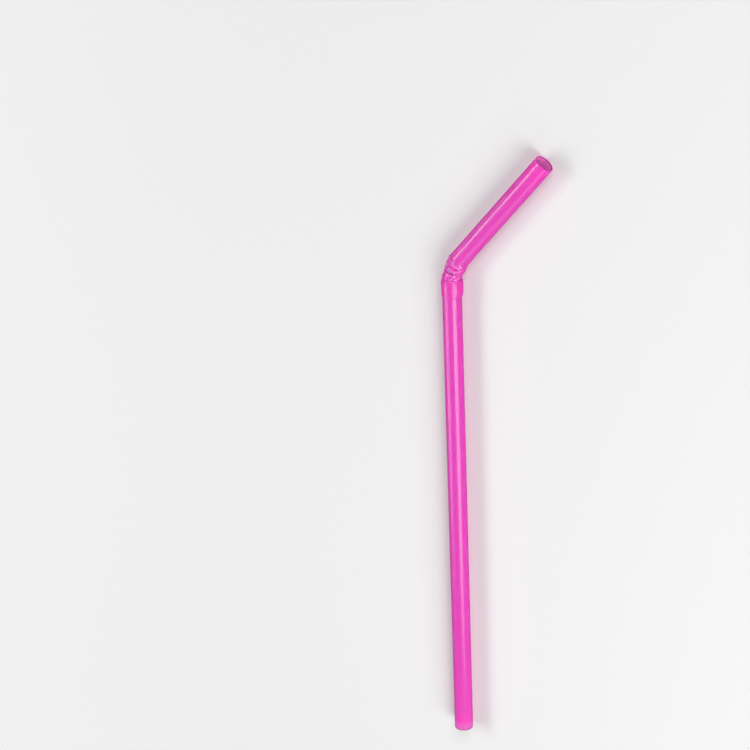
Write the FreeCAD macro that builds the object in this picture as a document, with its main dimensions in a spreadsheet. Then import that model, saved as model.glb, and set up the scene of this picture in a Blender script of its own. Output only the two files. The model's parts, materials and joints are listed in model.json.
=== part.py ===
import FreeCAD, Part
import os
import Sketcher

# A flexible drinking straw, drawn in millimetres.
# It is drawn standing on its foot, leg up the Z axis and arm leaning towards +X, and then laid on its side.

doc = FreeCAD.newDocument("DrinkingStraw")

# Driving sizes
sizes = doc.addObject("Spreadsheet::Sheet", "Sizes")
drivingSizes = [
    ("tubeDiameter", 6.0, "outside of the plain tube"),
    ("wall", 0.15, "thickness of the plain tube"),
    ("legLength", 151.3, "plain tube from the foot to the folds"),
    ("armLength", 44.2, "plain tube from the folds to the mouth end"),
    ("ringPeakDiameter", 6.8, "outside of the folds at their crests"),
    ("ringValleyDiameter", 5.6, "outside of the folds at their grooves"),
    ("foldWall", 0.25, "wall of the folds, measured straight out from the axis"),
    ("closedPitch", 0.8, "length of one fold that is pushed shut"),
    ("bendAngle", 41.0, "degrees from the leg to the arm"),
    ("bendRadius", 8.3, "radius of the axis through the opened folds"),
]
for row, (alias, value, note) in enumerate(drivingSizes, start=1):
    sizes.set(f"A{row}", alias)
    sizes.set(f"B{row}", str(value))
    sizes.set(f"C{row}", note)
    sizes.setAlias(f"B{row}", alias)
doc.recompute()

closedRings = 7     # folds still pushed shut, next to the leg
openRings = 5       # folds pulled open by the bend, next to the arm
stepsPerRing = 2    # one step up to the crest and one down to the groove
closedSteps = closedRings * stepsPerRing
openSteps = openRings * stepsPerRing

outerTube = "Sizes.tubeDiameter"
innerTube = "(Sizes.tubeDiameter - 2 * Sizes.wall)"
innerPeak = "(Sizes.ringPeakDiameter - 2 * Sizes.foldWall)"
innerValley = "(Sizes.ringValleyDiameter - 2 * Sizes.foldWall)"
bendStart = f"(Sizes.legLength + Sizes.closedPitch * {closedRings})"

straw = doc.addObject("PartDesign::Body", "Straw")
straw.Label = "straw"
groundPlane = [plane for plane in straw.Origin.OriginFeatures if plane.Role == "XY_Plane"][0]


def axisPlace(step):
    # Place on the axis of one crest or groove, as expressions for its x, its z and its tilt
    if step <= closedSteps:
        height = f"Sizes.legLength + Sizes.closedPitch * {step} / {stepsPerRing}"
        return "0", height, None
    tilt = f"Sizes.bendAngle * {step - closedSteps} / {openSteps}"
    sideways = f"Sizes.bendRadius * (1 - cos({tilt}))"
    height = f"{bendStart} + Sizes.bendRadius * sin({tilt})"
    return sideways, height, tilt


def circleSketch(name, diameter, place):
    # A circle square to the straw's axis, with its centre on it
    sideways, height, tilt = place
    sketch = straw.newObject("Sketcher::SketchObject", name)
    sketch.AttachmentSupport = [(groundPlane, "")]
    sketch.MapMode = "FlatFace"
    sketch.addGeometry(Part.Circle(FreeCAD.Vector(0, 0, 0), FreeCAD.Vector(0, 0, 1), sizes.tubeDiameter / 2))
    sketch.addConstraint(Sketcher.Constraint("Coincident", 0, 3, -1, 1))
    sketch.addConstraint(Sketcher.Constraint("Diameter", 0, sizes.tubeDiameter))
    sketch.renameConstraint(1, "diameter")
    sketch.setExpression("Constraints.diameter", diameter)
    sketch.setExpression("AttachmentOffset.Base.x", sideways)
    sketch.setExpression("AttachmentOffset.Base.z", height)
    if tilt is not None:
        # A first lean about Y gives the turn its axis, and the expression then sets its angle
        firstLean = FreeCAD.Rotation(FreeCAD.Vector(0, 1, 0), sizes.bendAngle)
        sketch.AttachmentOffset = FreeCAD.Placement(FreeCAD.Vector(0, 0, 0), firstLean)
        sketch.setExpression("AttachmentOffset.Rotation.Angle", tilt)
    return sketch


def tube(kind, name, diameter, place, length, reverse):
    # A straight round length, added or cut
    feature = straw.newObject(kind, name)
    feature.Profile = circleSketch(name + "Circle", diameter, place)
    feature.setExpression("Length", length)
    feature.Reversed = reverse
    return feature


def folds(kind, name, tubeDiameter, peakDiameter, valleyDiameter):
    # The zigzag skin of all the folds, from the leg's end to the arm's start, added or cut
    lastStep = closedSteps + openSteps
    rings = []
    for step in range(lastStep + 1):
        if step in (0, lastStep):
            diameter = tubeDiameter
        elif step % stepsPerRing:
            diameter = peakDiameter
        else:
            diameter = valleyDiameter
        rings.append(circleSketch(f"{name}Edge{step}", diameter, axisPlace(step)))
    loft = straw.newObject(kind, name)
    loft.Profile = rings[0]
    loft.Sections = rings[1:]
    loft.Ruled = True
    return loft


footPlace = ("0", "0", None)
mouthPlace = axisPlace(closedSteps + openSteps)

# Outer skin
tube("PartDesign::Pad", "LegSkin", outerTube, footPlace, "Sizes.legLength", False)
folds("PartDesign::AdditiveLoft", "FoldSkin", outerTube, "Sizes.ringPeakDiameter", "Sizes.ringValleyDiameter")
tube("PartDesign::Pad", "ArmSkin", outerTube, mouthPlace, "Sizes.armLength", False)

# Bore
tube("PartDesign::Pocket", "LegBore", innerTube, footPlace, "Sizes.legLength", True)
folds("PartDesign::SubtractiveLoft", "FoldBore", innerTube, innerPeak, innerValley)
tube("PartDesign::Pocket", "ArmBore", innerTube, mouthPlace, "Sizes.armLength", True)

# Laid on its side, on the crests of its folds, with the origin under the middle of its footprint
layingDown = FreeCAD.Rotation(FreeCAD.Vector(1, 0, 0), -90)
straw.Placement = FreeCAD.Placement(FreeCAD.Vector(0, 0, 0), layingDown)
mouthSideways = f"({mouthPlace[0]} + Sizes.armLength * sin(Sizes.bendAngle))"
mouthHeight = f"({mouthPlace[1]} + Sizes.armLength * cos(Sizes.bendAngle))"
widest = f"({mouthSideways} + Sizes.tubeDiameter / 2 * cos(Sizes.bendAngle))"
longest = f"({mouthHeight} + Sizes.tubeDiameter / 2 * sin(Sizes.bendAngle))"
straw.setExpression("Placement.Base.x", f"-({widest} - Sizes.ringPeakDiameter / 2) / 2")
straw.setExpression("Placement.Base.y", f"-{longest} / 2")
straw.setExpression("Placement.Base.z", "Sizes.ringPeakDiameter / 2")

doc.recompute()

for item in doc.Objects:
    if "Invalid" in item.State or "Error" in item.State:
        raise RuntimeError(f"{item.Label} failed: {item.State}")
if straw.Shape.isNull() or not straw.Shape.isValid():
    raise RuntimeError("straw has no sound shape")
if len(straw.Shape.Solids) != 1:
    raise RuntimeError("straw is not one solid")

os.makedirs("parts", exist_ok=True)
straw.Shape.exportStep(f"parts/{straw.Label}.step")
box = straw.Shape.BoundBox
print("straw", round(straw.Shape.Volume, 2), "cubic mm,", len(straw.Shape.Faces), "faces")
print("box", round(box.XMin, 3), round(box.XMax, 3), round(box.YMin, 3), round(box.YMax, 3), box.ZMin, box.ZMax)
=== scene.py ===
import json
import math

import bmesh
import bpy
from mathutils import Matrix, Vector, noise


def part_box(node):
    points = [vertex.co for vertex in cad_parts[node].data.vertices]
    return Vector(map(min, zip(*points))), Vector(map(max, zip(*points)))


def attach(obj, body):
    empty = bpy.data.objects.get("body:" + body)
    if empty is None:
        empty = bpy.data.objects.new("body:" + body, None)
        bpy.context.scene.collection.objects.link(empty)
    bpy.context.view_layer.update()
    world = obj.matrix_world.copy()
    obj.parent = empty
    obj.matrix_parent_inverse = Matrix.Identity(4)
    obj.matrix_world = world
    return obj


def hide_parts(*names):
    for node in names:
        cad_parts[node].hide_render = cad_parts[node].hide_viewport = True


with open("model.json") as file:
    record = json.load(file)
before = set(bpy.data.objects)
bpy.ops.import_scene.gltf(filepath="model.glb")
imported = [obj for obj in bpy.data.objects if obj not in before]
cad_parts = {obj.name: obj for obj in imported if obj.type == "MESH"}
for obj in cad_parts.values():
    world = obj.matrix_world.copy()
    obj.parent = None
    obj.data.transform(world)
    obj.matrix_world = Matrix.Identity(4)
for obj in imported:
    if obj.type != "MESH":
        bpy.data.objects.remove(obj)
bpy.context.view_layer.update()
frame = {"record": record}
print("frame loaded")

mm = 0.001
mounts = {mount["name"]: mount for mount in frame["record"]["mounts"]}


# Shader sockets that Python's own signs work on
class Wire:
    def __init__(self, tree, socket=None):
        self.tree = tree
        self.socket = socket

    def make(self, kind, settings=None, inputs=None, output=0):
        node = self.tree.nodes.new(kind)
        for name, value in (settings or {}).items():
            setattr(node, name, value)
        for name, value in (inputs or {}).items():
            if isinstance(value, Wire):
                self.tree.links.new(value.socket, node.inputs[name])
            else:
                node.inputs[name].default_value = value
        return Wire(self.tree, node.outputs[output] if node.outputs else None)

    def maths(self, operation, *values):
        return self.make("ShaderNodeMath", {"operation": operation}, dict(enumerate(values)))

    def __add__(self, other):
        return self.maths("ADD", self, other)

    def __radd__(self, other):
        return self.maths("ADD", other, self)

    def __sub__(self, other):
        return self.maths("SUBTRACT", self, other)

    def __rsub__(self, other):
        return self.maths("SUBTRACT", other, self)

    def __mul__(self, other):
        return self.maths("MULTIPLY", self, other)

    def __rmul__(self, other):
        return self.maths("MULTIPLY", other, self)

    def __truediv__(self, other):
        return self.maths("DIVIDE", self, other)

    def __rtruediv__(self, other):
        return self.maths("DIVIDE", other, self)

    def clamped(self):
        return self.make("ShaderNodeClamp", None, {"Value": self})

    def mixColor(self, first, second):
        # 6 and 7 are the Mix node's two colours, and output 2 is their mix
        names = {"Factor": self, 6: first, 7: second}
        return self.make("ShaderNodeMix", {"data_type": "RGBA"}, names, 2)


def newMaterial(name):
    material = bpy.data.materials.new(name)
    material.use_nodes = True
    material.node_tree.nodes.clear()
    return material, Wire(material.node_tree)


# The straw's tube
strawValues = {
    "closedCrests": [3.22, 3.36, 3.37, 3.38, 3.37, 3.37, 3.35],    # mm from the axis, from the leg's side
    "closedDepth": 0.10 * mm,      # of the crease between two shut folds
    "closedRoundness": 6.0,        # high: broad flat crests with a narrow crease between
    "closedShift": 0.14 * mm,      # how far the shut folds are pushed towards the inner side
    "shiftGrows": 0.5 * mm,        # length over which that push sets in at the leg
    "shiftFades": 2.5 * mm,        # length over which it fades
    "shiftPast": 1.0 * mm,         # how far into the opened folds it reaches
    "openCrests": [3.37, 3.16, 3.37, 3.30, 3.38],        # the folds that the bend has pulled open
    "openGrooves": [3.10, 2.98, 2.40, 2.92, 2.86],       # the groove on the leg's side of each of those
    "openShares": [0.205, 0.165, 0.135, 0.18, 0.315],    # how those folds share their length
    "openRoundness": [1.3, 1.3, 1.3, 1.3, 1.0],          # 1: a plain cone
    "openPast": 1.25 * mm,         # how far the last of them reaches onto the arm
    "openRamp": 1.0 * mm,          # length over which shut folds turn into opened ones
    "armRamp": 1.2 * mm,           # length before the arm over which the folds turn into the last one's form
    "innerFlat": 0.55,             # how much of their height the opened folds lose on the inner side
    "innerFlatFrom": 0.5,          # where that side starts at the arm, 0 in the middle and 1 at the skin
    "outerFlat": 0.80,             # how much of its height the last fold loses on the outer side
    "crestAt": 0.55,               # where a fold's crest lies, 0 at the leg's side and 1 at the arm's
    "foldWall": 0.20 * mm,         # measured straight out from the axis
    "lip": 0.03 * mm,              # rounding of the cut ends
    "bendFrom": 1.1 * mm,          # how far below the opened folds the outer side starts to pull
    "outerBulge": 0.02,            # how far it stands out from a straight pull, in shares of its length
    "innerCorner": 0.05,           # how round the inner side's corner is
    "innerPinch": 0.68 * mm,       # how far the inner side's folds are squeezed out past the corner
    "pinchShift": 0.19,            # how far past it they stand out most, in shares of the bend
    "pinchReach": 0.60,            # how far from there they still stand out, the same
    "dentAt": (0.75 * mm, math.radians(58)),    # along from the bend's end, and round from the inner side
    "dentSize": 1.0 * mm,
    "dentDepth": 0.17 * mm,
    "closedWobble": 0.008 * mm,    # how unevenly the folds were pressed
    "openWobble": 0.25 * mm,
    "wobbleSize": 0.85 * mm,
    "wobbleDetail": 2,
    "wobbleGrows": 1.0 * mm,       # length over which it sets in at the leg
    "wobbleFades": 2.0 * mm,       # length over which it fades at the arm
    "wobbleSeed": 15,              # never 0, which would press the folds differently on every run
    "pointsPerFold": 12,
    "stepAlongTube": 4 * mm,
    "closeToEnd": 0.12 * mm,
    "stepsAround": 112,
    "weldWithin": 0.001 * mm,
}

legMount = mounts["leg_outside"]
armMount = mounts["arm_outside"]
tubeRadius = legMount["dims"]["r_mm"] * mm
wall = tubeRadius - mounts["foot_bore"]["dims"]["r_mm"] * mm
legLength = legMount["dims"]["length_mm"] * mm
armLength = armMount["dims"]["length_mm"] * mm
foot = Vector(legMount["pos_m"])
legWay = -Vector(legMount["axis"])
armWay = Vector(armMount["axis"])
armSide = Vector((armWay.y, -armWay.x, 0))    # from the arm's axis to the inner side of the bend
armStart = Vector(armMount["pos_m"]) - armWay * armLength - foot
bendAngle = legWay.angle(armWay)
bendRadius = armStart.x / (1 - math.cos(bendAngle))
bendStart = armStart.y - bendRadius * math.sin(bendAngle)
bendLength = bendRadius * bendAngle
bendEnd = bendStart + bendLength
foldsEnd = bendEnd + strawValues["openPast"]
bendFrom = bendStart - strawValues["bendFrom"]
closedPitch = (bendStart - legLength) / len(strawValues["closedCrests"])
afterCorner = (bendRadius - tubeRadius) * math.tan(bendAngle / 2)    # from the inner side's corner to the arm
innerTurn = (bendStart + afterCorner - bendFrom) / (bendStart + 2 * afterCorner - bendFrom)
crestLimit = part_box("straw")[1].z / 2


def foldRise(place, roundness):
    # height of a fold's skin over its groove, from 0 to 1, at a place from 0 to 1 along the fold
    crestAt = strawValues["crestAt"]
    climb = place / crestAt if place < crestAt else (1 - place) / (1 - crestAt)
    return (1 - (1 - climb) ** roundness) ** (1 / roundness)


def foldList():
    # every fold's start, length, crest, the grooves on its two sides, and roundness
    closedCrests = [crest * mm for crest in strawValues["closedCrests"]]
    openCrests = [crest * mm for crest in strawValues["openCrests"]]
    openShares = strawValues["openShares"]
    grooves = [tubeRadius]
    grooves += [min(pair) - strawValues["closedDepth"] for pair in zip(closedCrests, closedCrests[1:])]
    grooves += [groove * mm for groove in strawValues["openGrooves"]] + [tubeRadius]
    lengths = [closedPitch] * len(closedCrests)
    openLength = bendLength + strawValues["openPast"]
    lengths += [openLength * share / sum(openShares) for share in openShares]
    roundness = [strawValues["closedRoundness"]] * len(closedCrests)
    roundness += strawValues["openRoundness"]
    starts = [legLength + sum(lengths[:fold]) for fold in range(len(lengths))]
    return list(zip(starts, lengths, closedCrests + openCrests, grooves, grooves[1:], roundness))


folds = foldList()


def skinRadius(along):
    # the outside's radius at a distance along the straw, before any bending
    for start, length, crest, grooveBefore, grooveAfter, roundness in folds:
        place = (along - start) / length
        if 0 <= place < 1:
            groove = grooveBefore if place < strawValues["crestAt"] else grooveAfter
            return groove + (crest - groove) * foldRise(place, roundness)
    return tubeRadius


def foldsSkin():
    steps = strawValues["pointsPerFold"]
    places = [fold[0] + fold[1] * step / steps for fold in folds for step in range(steps)]
    return [(along, skinRadius(along)) for along in places]


def plainSkin(start, length, radius):
    # a point close to each end keeps the shading of the straight tube straight
    close = strawValues["closeToEnd"]
    middle = length - 2 * close
    steps = round(middle / strawValues["stepAlongTube"])
    places = [0] + [close + middle * step / steps for step in range(steps + 1)] + [length]
    return [(start + place, radius) for place in places]


def strawProfile():
    # once round the wall's section: up the outside, over the mouth's lip, down the bore
    lip = strawValues["lip"]
    length = bendEnd + armLength
    bellows = foldsSkin()
    outside = [(0, tubeRadius - lip)]
    outside += plainSkin(lip, legLength - lip, tubeRadius)[:-1] + bellows
    outside += plainSkin(foldsEnd, length - lip - foldsEnd, tubeRadius)
    outside += [(length, tubeRadius - lip)]
    bore = [(length, tubeRadius - wall + lip)]
    bore += plainSkin(foldsEnd, length - lip - foldsEnd, tubeRadius - wall)[::-1]
    bore += [(along, radius - strawValues["foldWall"]) for along, radius in bellows[:0:-1]]
    bore += plainSkin(lip, legLength - lip, tubeRadius - wall)[::-1]
    bore += [(0, tubeRadius - wall + lip)]
    return outside + bore


def softStep(value, corner):
    # a ramp that stays low until the corner and then climbs, with its turn rounded off
    roundness = strawValues["innerCorner"]
    return (math.hypot(value - corner, roundness) + value - corner) / 2


def evenRamp(value, corner):
    # the same ramp, drawn out to run from 0 to 1
    low = softStep(0, corner)
    return (softStep(value, corner) - low) / (softStep(1, corner) - low)


def innerPath(share):
    # inner side of the bend: straight on from the leg, a corner, and straight to the arm
    start = Vector((tubeRadius, bendFrom, 0))
    end = armStart + armSide * tubeRadius
    corner = Vector((tubeRadius, bendStart + afterCorner, 0))
    toCorner = 1 - evenRamp(1 - share, 1 - innerTurn)
    return start + (corner - start) * toCorner + (end - corner) * evenRamp(share, innerTurn)


def outerPath(share):
    # outer side of the bend: pulled nearly straight
    start = Vector((-tubeRadius, bendFrom, 0))
    end = armStart - armSide * tubeRadius
    bulge = strawValues["outerBulge"] * (end - start).length * 4 * share * (1 - share)
    return start.lerp(end, share) + Vector((start.y - end.y, end.x - start.x, 0)).normalized() * bulge


def smooth(value):
    value = min(max(value, 0), 1)
    return value * value * (3 - 2 * value)


def bent(point):
    # where a point of the straight tube lies once the tube is bent
    grown = smooth((point.y - legLength) / strawValues["shiftGrows"])
    shift = grown * smooth((bendStart + strawValues["shiftPast"] - point.y) / strawValues["shiftFades"])
    height = Vector((strawValues["closedShift"] * shift, 0, point.z))
    if point.y <= bendFrom:
        return Vector((point.x, point.y, 0)) + height
    share = (point.y - bendFrom) / (bendEnd - bendFrom)
    nearPinch = smooth(1 - abs(share - innerTurn - strawValues["pinchShift"]) / strawValues["pinchReach"])
    pinch = strawValues["innerPinch"] * max(point.x / tubeRadius, 0) ** 2 * nearPinch
    squeezed = Vector((pinch, -pinch * math.tan(bendAngle / 2), 0))
    if point.y >= bendEnd:
        return armStart + armWay * (point.y - bendEnd) + armSide * point.x + squeezed + height
    inward = (point.x / tubeRadius + 1) / 2
    return outerPath(share).lerp(innerPath(share), inward) + squeezed + height


def dent(point):
    # depth of the flat dent beside the last fold
    along, angle = strawValues["dentAt"]
    aside = (math.atan2(point.z, point.x) - angle) * tubeRadius
    away = math.hypot(point.y - bendEnd - along, aside) / strawValues["dentSize"]
    return strawValues["dentDepth"] * math.exp(-away * away)


def pressed(point):
    # the folds made uneven, flattened and dented, the same on both sides of the wall
    grown = max((point.y - legLength) / strawValues["wobbleGrows"], 0)
    fading = max((foldsEnd - point.y) / strawValues["wobbleFades"], 0)
    opened = min(max((point.y - bendStart) / strawValues["openRamp"] + 0.5, 0), 1)
    size = strawValues["closedWobble"] + (strawValues["openWobble"] - strawValues["closedWobble"]) * opened
    radius = math.hypot(point.x, point.z)
    around = Vector((point.x / radius * tubeRadius, point.y, point.z / radius * tubeRadius))
    place = around / strawValues["wobbleSize"]
    push = noise.turbulence_vector(place, strawValues["wobbleDetail"], False) * size * min(grown, fading, 1)
    atArm = smooth((point.y - bendEnd) / strawValues["armRamp"] + 1)
    flatFrom = strawValues["innerFlatFrom"] * atArm
    inner = smooth((point.x / tubeRadius - flatFrom) / (1 - flatFrom))
    flat = (strawValues["innerFlat"] + (1 - strawValues["innerFlat"]) * atArm) * opened * inner
    flat += strawValues["outerFlat"] * atArm * smooth(-point.x / tubeRadius)
    kept = 1 - flat * (skinRadius(point.y) - tubeRadius) / radius
    kept -= dent(point) / radius
    moved = Vector((point.x * kept, point.y, point.z * kept)) + push
    inside = min(crestLimit / math.hypot(moved.x, moved.z), 1)    # no crest leaves the solid's box
    return Vector((moved.x * inside, moved.y, moved.z * inside))


def makeStraw():
    noise.seed_set(strawValues["wobbleSeed"])
    bm = bmesh.new()
    profile = [bm.verts.new((radius, along, 0)) for along, radius in strawProfile()]
    edges = [bm.edges.new(pair) for pair in zip(profile, profile[1:] + profile[:1])]
    bmesh.ops.spin(bm, geom=profile + edges, cent=(0, 0, 0), axis=(0, 1, 0), dvec=(0, 0, 0),
                   angle=2 * math.pi, steps=strawValues["stepsAround"], use_merge=True)
    bmesh.ops.remove_doubles(bm, verts=bm.verts, dist=strawValues["weldWithin"])
    bmesh.ops.recalc_face_normals(bm, faces=bm.faces)
    if bm.calc_volume(signed=True) < 0:
        bmesh.ops.reverse_faces(bm, faces=bm.faces)
    straight = bm.verts.layers.float_vector.new("straight")    # the unbent place, for the material
    for vert in bm.verts:
        vert[straight] = vert.co
        vert.co = bent(pressed(vert.co)) + foot
    mesh = bpy.data.meshes.new("straw_tube")
    bm.to_mesh(mesh)
    bm.free()
    mesh.polygons.foreach_set("use_smooth", [True] * len(mesh.polygons))
    tube = bpy.data.objects.new("straw_tube", mesh)
    bpy.context.scene.collection.objects.link(tube)
    print("straw tube:", len(mesh.polygons), "faces")
    return tube


plasticValues = {
    "body": (0.965, 0.058, 0.48, 1),
    "pale": (0.965, 0.14, 0.59, 1),        # faint clouds drawn out along the tube
    "paleShare": 0.3,
    "cloudScale": 700.0,
    "cloudDetail": 3.0,
    "lineScale": 2600.0,                   # fine lines along the tube
    "lineDetail": 2.0,
    "lineHeight": 0.003,                   # heights in mm
    "lineRoughness": 0.12,
    "drawnOut": 0.02,                      # scale of clouds and lines along the tube, against across it
    "rippleScale": 160.0,                  # slow waves in the wall
    "rippleDetail": 1.0,
    "rippleHeight": 0.003,
    "creaseShade": (0.62, 0.02, 0.30, 1),       # painted shade in the bottoms of the shut folds
    "creaseShare": 0.6,
    "creaseFrom": 0.36,                    # distance from a fold's middle, 0.5 at its ends
    "creaseEnd": 0.1 * mm,
    "stretchedAndHighlight": (1.0, 0.25, 0.66, 1),     # patches paled by stretching at the bend, and painted highlights on the opened folds
    "patchEdge": 6.0,                      # how sharp their edges are
    "crumpleScale": 800.0,                 # of those patches, and of the crumples that lie with them
    "crumpleDetail": 1.0,
    "crumpleHeight": 1.6,
    "crumpleEnd": 0.5 * mm,
    "foot": (0.62, 0.21, 0.54, 1),         # the foot's end, greyed by light from below
    "footShare": 0.8,
    "footDepth": 3.6 * mm,
    "bore": (0.95, 0.31, 0.68, 1),         # the inside near an open end, hazed by light through the wall
    "boreDepth": 14 * mm,
    "cut": (0.45, 0.02, 0.26, 1),          # painted shade on the cut ends, where they are seen through more plastic
    "cutEdge": 2.0,                        # how sharply that starts
    "cutDepth": 0.45 * mm,
    "roughness": 0.22,
    "openGloss": 0.10,                     # how much smoother the opened folds are
    "bump": 0.35,
    "ior": 1.49,
    "glowRadius": (1.0, 0.5, 0.85),        # how far red, green and blue light wander in the wall
    "glowScale": 0.45 * mm,
}


def makePlastic():
    material, wire = newMaterial("neon_magenta_plastic")
    place = wire.make("ShaderNodeAttribute", {"attribute_name": "straight"}, None, 1)
    along = wire.make("ShaderNodeSeparateXYZ", None, {"Vector": place}, 1)
    drawnScale = (1, plasticValues["drawnOut"], 1)
    drawn = wire.make("ShaderNodeMapping", None, {"Vector": place, "Scale": drawnScale})
    cloud = wire.make("ShaderNodeTexNoise", None, {
        "Vector": drawn, "Scale": plasticValues["cloudScale"], "Detail": plasticValues["cloudDetail"]})
    lines = wire.make("ShaderNodeTexNoise", None, {
        "Vector": drawn, "Scale": plasticValues["lineScale"], "Detail": plasticValues["lineDetail"]})
    ripple = wire.make("ShaderNodeTexNoise", None, {
        "Vector": place, "Scale": plasticValues["rippleScale"], "Detail": plasticValues["rippleDetail"]})
    crumple = wire.make("ShaderNodeTexNoise", None, {
        "Vector": place, "Scale": plasticValues["crumpleScale"], "Detail": plasticValues["crumpleDetail"]})
    color = (cloud * plasticValues["paleShare"]).mixColor(plasticValues["body"], plasticValues["pale"])

    # painted shade in the creases between the shut folds
    fold = wire.maths("FRACT", (along - legLength) / closedPitch)
    creaseFrom = plasticValues["creaseFrom"]
    grooveShade = ((wire.maths("ABSOLUTE", fold - 0.5) - creaseFrom) / (0.5 - creaseFrom)).clamped()
    creaseEnd = plasticValues["creaseEnd"]
    shut = ((along - legLength) / creaseEnd).clamped() * ((bendStart - along) / creaseEnd).clamped()
    color = (grooveShade * shut * plasticValues["creaseShare"]).mixColor(color, plasticValues["creaseShade"])

    opened = ((along - bendStart) / strawValues["openRamp"] + 0.5).clamped()
    opened = opened * ((foldsEnd - along) / plasticValues["crumpleEnd"]).clamped()
    # painted highlights on the opened folds' crumples, together with the paling of stretched plastic
    paleAndHighlit = ((crumple - 0.5) * plasticValues["patchEdge"]).clamped() * opened
    color = paleAndHighlit.mixColor(color, plasticValues["stretchedAndHighlight"])

    nearFoot = (1 - along / plasticValues["footDepth"]).clamped()
    color = (nearFoot * plasticValues["footShare"]).mixColor(color, plasticValues["foot"])

    fromEnd = wire.maths("MINIMUM", along, (bendEnd + armLength) - along)
    acrossOnly = wire.make("ShaderNodeMapping", None, {"Vector": place, "Scale": (1, 0, 1)})
    radius = wire.make("ShaderNodeVectorMath", {"operation": "LENGTH"}, {0: acrossOnly}, 1)
    inBore = (((tubeRadius - wall / 2) - radius) / (wall / 4)).clamped()
    nearEnd = (1 - fromEnd / plasticValues["boreDepth"]).clamped()
    color = (inBore * nearEnd).mixColor(color, plasticValues["bore"])

    # painted shade: at the foot the whole cut end is darkened, at the mouth only its bore
    onLeg = wire.maths("LESS_THAN", along, legLength)
    cutEnd = ((1 - fromEnd / plasticValues["cutDepth"]) * plasticValues["cutEdge"]).clamped()
    cutEnd = cutEnd * wire.maths("MAXIMUM", inBore, onLeg)
    color = cutEnd.mixColor(color, plasticValues["cut"])

    rough = plasticValues["roughness"] + (lines - 0.5) * plasticValues["lineRoughness"]
    rough = rough - opened * plasticValues["openGloss"]
    height = lines * plasticValues["lineHeight"] + ripple * plasticValues["rippleHeight"]
    height = height + crumple * opened * plasticValues["crumpleHeight"]
    normal = wire.make("ShaderNodeBump", None, {
        "Height": height, "Strength": plasticValues["bump"], "Distance": mm})
    plastic = wire.make("ShaderNodeBsdfPrincipled", None, {
        "Base Color": color, "Roughness": rough, "Normal": normal, "IOR": plasticValues["ior"],
        "Subsurface Weight": 1.0, "Subsurface Radius": plasticValues["glowRadius"],
        "Subsurface Scale": plasticValues["glowScale"]})
    wire.make("ShaderNodeOutputMaterial", None, {"Surface": plastic})
    return material


straw = makeStraw()
straw.data.materials.append(makePlastic())
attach(straw, "root")
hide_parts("straw")
print("straw made")


# Floor
floorValues = {
    "size": 3.0,
    "color": (0.78, 0.78, 0.78, 1),
    "inGloss": (0.16, 0.13, 0.15, 1),    # dark card that the straw's gloss sees, for clear edges
    "backdrop": 0.88,          # white that the camera sees far from the straw, past the lamps' reach
    "fadeFrom": 0.12,
    "fadeTo": 0.30,
}


def makeFloor():
    bm = bmesh.new()
    bmesh.ops.create_grid(bm, x_segments=1, y_segments=1, size=floorValues["size"] / 2)
    mesh = bpy.data.meshes.new("floor")
    bm.to_mesh(mesh)
    bm.free()
    floor = bpy.data.objects.new("floor", mesh)
    bpy.context.scene.collection.objects.link(floor)
    material, wire = newMaterial("pale_floor")
    gloss = wire.make("ShaderNodeLightPath", None, None, "Is Glossy Ray")
    color = gloss.mixColor(floorValues["color"], floorValues["inGloss"])
    paper = wire.make("ShaderNodeBsdfDiffuse", None, {"Color": color})
    place = wire.make("ShaderNodeTexCoord", None, None, "Object")
    distance = wire.make("ShaderNodeVectorMath", {"operation": "LENGTH"}, {0: place}, 1)
    far = wire.make("ShaderNodeMapRange", {"interpolation_type": "SMOOTHSTEP"}, {
        "Value": distance, "From Min": floorValues["fadeFrom"], "From Max": floorValues["fadeTo"]})
    seen = wire.make("ShaderNodeLightPath", None, None, "Is Camera Ray")
    backdrop = wire.make("ShaderNodeEmission", None, {
        "Color": (1, 1, 1, 1), "Strength": floorValues["backdrop"]})
    surface = wire.make("ShaderNodeMixShader", None, {0: far * seen, 1: paper, 2: backdrop})
    wire.make("ShaderNodeOutputMaterial", None, {"Surface": surface})
    mesh.materials.append(material)
    return floor


makeFloor()
print("floor made")

# Camera: looks down on the lying straw at the photograph's angle
cameraValues = {
    "place": Vector((243.6, 251.8, 507.0)) * mm,
    "lookAt": Vector((-45.0, 20.6, 0.0)) * mm,
    "roll": math.radians(-2.5),
    "lens": 94.7,
    "sensor": 36,
    "nearest": 0.01,
}


def makeCamera():
    camera = bpy.data.objects.new("camera", bpy.data.cameras.new("camera"))
    bpy.context.scene.collection.objects.link(camera)
    back = (cameraValues["place"] - cameraValues["lookAt"]).normalized()
    right = legWay.cross(back).normalized()    # the leg stands upright in the picture
    up = back.cross(right)
    turned = Matrix((right, up, back)).transposed().to_4x4()
    lean = Matrix.Rotation(cameraValues["roll"], 4, "Z")
    camera.matrix_world = Matrix.Translation(cameraValues["place"]) @ turned @ lean
    camera.data.lens = cameraValues["lens"]
    camera.data.sensor_width = cameraValues["sensor"]
    camera.data.clip_start = cameraValues["nearest"]
    bpy.context.scene.camera = camera


makeCamera()

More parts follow.
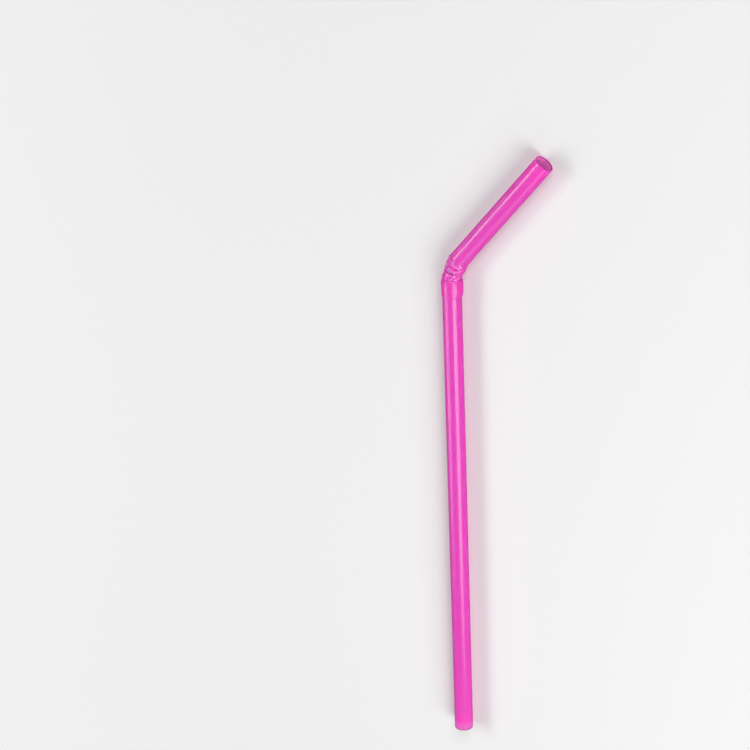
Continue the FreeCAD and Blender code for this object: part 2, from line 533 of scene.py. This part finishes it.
# Lights: softboxes around the straw, radiance in units of a white wall
lightValues = {
    "left": {"place": (-0.575, 0.12, 0.475), "size": (0.20, 0.44), "shape": "RECTANGLE", "radiance": 7.7},
    "leftLow": {"place": (-0.53, -0.24, 0.46), "size": (0.55, 0.24), "shape": "ELLIPSE", "radiance": 3.1},
    "right": {"place": (0.527, -0.20, 0.436), "size": (0.54, 0.46), "shape": "ELLIPSE", "radiance": 6.0},
    "front": {"place": (0.158, -0.587, 0.312), "size": (0.45, 0.35), "shape": "ELLIPSE", "radiance": 1.6},
    "behind": {"place": (0.30, 0.55, 0.50), "size": (0.36, 0.30), "shape": "ELLIPSE", "radiance": 7.0},
    "low": {"place": (-0.73, 0.225, 0.032), "size": (0.05, 0.20), "shape": "RECTANGLE", "radiance": 4.0},
}
skyValues = {
    "strength": 0.17,
    "seen": 0.88,    # as the camera sees it
}


def makeLight(name):
    values = lightValues[name]
    width, length = values["size"]
    lamp = bpy.data.lights.new(name + "_softbox", "AREA")
    lamp.shape = values["shape"]
    lamp.size, lamp.size_y = width, length
    area = width * length * (math.pi / 4 if lamp.shape == "ELLIPSE" else 1)
    lamp.energy = values["radiance"] * math.pi * area
    light = bpy.data.objects.new(name + "_softbox", lamp)
    bpy.context.scene.collection.objects.link(light)
    light.visible_camera = False
    back = Vector(values["place"]).normalized()    # every lamp faces the origin
    across = Vector((0, 1, 0)).cross(back).normalized()
    axes = Matrix((across, back.cross(across), back)).transposed().to_4x4()
    light.matrix_world = Matrix.Translation(values["place"]) @ axes


for name in lightValues:
    makeLight(name)

world = bpy.data.worlds.new("studio")
bpy.context.scene.world = world
world.use_nodes = True
world.node_tree.nodes.clear()
sky = Wire(world.node_tree)
seen = sky.make("ShaderNodeLightPath", None, None, "Is Camera Ray")
strength = skyValues["strength"] + seen * (skyValues["seen"] - skyValues["strength"])
backdrop = sky.make("ShaderNodeBackground", None, {"Color": (1, 1, 1, 1), "Strength": strength})
sky.make("ShaderNodeOutputWorld", None, {"Surface": backdrop})
bpy.context.scene.view_settings.view_transform = "Standard"
print("camera and lights made")
